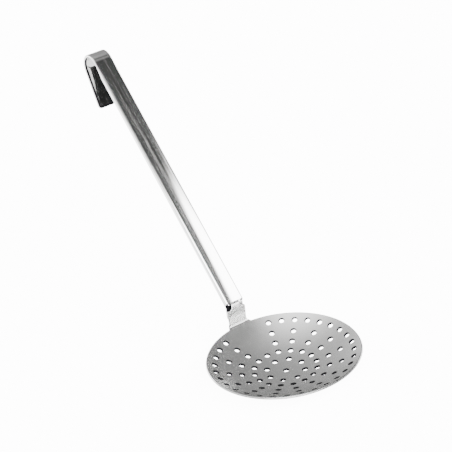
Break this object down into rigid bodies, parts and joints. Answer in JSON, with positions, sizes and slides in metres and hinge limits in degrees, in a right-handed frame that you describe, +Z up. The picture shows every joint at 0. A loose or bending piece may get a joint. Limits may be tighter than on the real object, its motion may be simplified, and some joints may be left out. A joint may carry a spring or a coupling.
{
  "type": "kitchen skimmer",
  "caption": "Shallow round perforated steel dish on an upturned neck, with a sloping channel-shaped handle that ends in a hanging hook.",
  "frame": {"origin": "lowest point of the dish's underside, on the dish's axis", "axes": "+Z up along the dish's axis, +X from the dish's middle towards the neck and handle, +Y to the left of the handle"},
  "size_m": [0.2926, 0.12, 0.2073],
  "materials": {
    "dish_steel": "satin polished stainless steel, with a circular grain",
    "handle_steel": "bright polished stainless steel"
  },
  "bodies": {
    "root": {"dish": "dish_steel", "handle": "handle_steel"}
  },
  "joints": []
}
